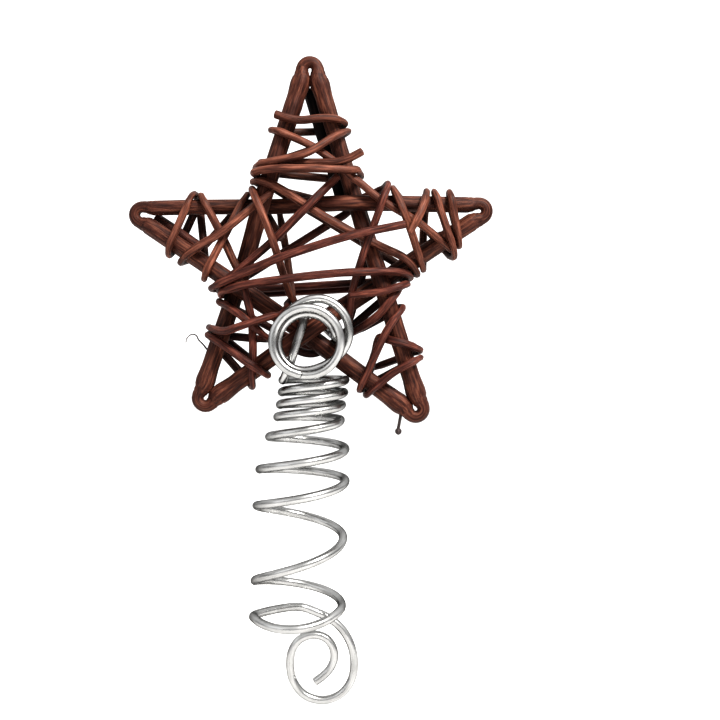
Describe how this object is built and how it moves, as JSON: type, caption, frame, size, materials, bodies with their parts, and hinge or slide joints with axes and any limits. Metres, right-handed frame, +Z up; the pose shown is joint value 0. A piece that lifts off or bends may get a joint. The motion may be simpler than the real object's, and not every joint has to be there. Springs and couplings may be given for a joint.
{
  "type": "star tree topper",
  "caption": "Five-pointed star of bent vine, wrapped with thinner vine, on a wire spring that slips over the top shoot of a tree.",
  "frame": {"origin": "middle of the spring's lower mouth, in the plane where the tree's shoot goes in", "axes": "+Z up along the spring and through the star, +Y from the star's front to its back, +X to the star's right as seen from the front"},
  "size_m": [0.1005, 0.0302, 0.1832],
  "materials": {
    "frame_vine": "satin",
    "wrapping_vine": "satin",
    "spring_wire": "satin",
    "grey_fibre": "matte",
    "dark_bud": "matte"
  },
  "bodies": {
    "root": {"frame_vine": "frame_vine", "lining_top": "frame_vine", "lining_left": "frame_vine", "wrap_lower_left_inner": "wrapping_vine", "wrap_top": "wrapping_vine", "wrap_right": "wrapping_vine", "wrap_left": "wrapping_vine", "wrap_neck": "wrapping_vine", "wrap_rise": "wrapping_vine", "wrap_right_shoulder": "wrapping_vine", "wrap_left_shoulder": "wrapping_vine", "wrap_lower_right": "wrapping_vine", "wrap_lower_left": "wrapping_vine", "wrap_middle": "wrapping_vine", "spring_wire": "spring_wire", "stray_fibre": "grey_fibre", "stalk": "dark_bud", "bud": "dark_bud"}
  },
  "joints": []
}
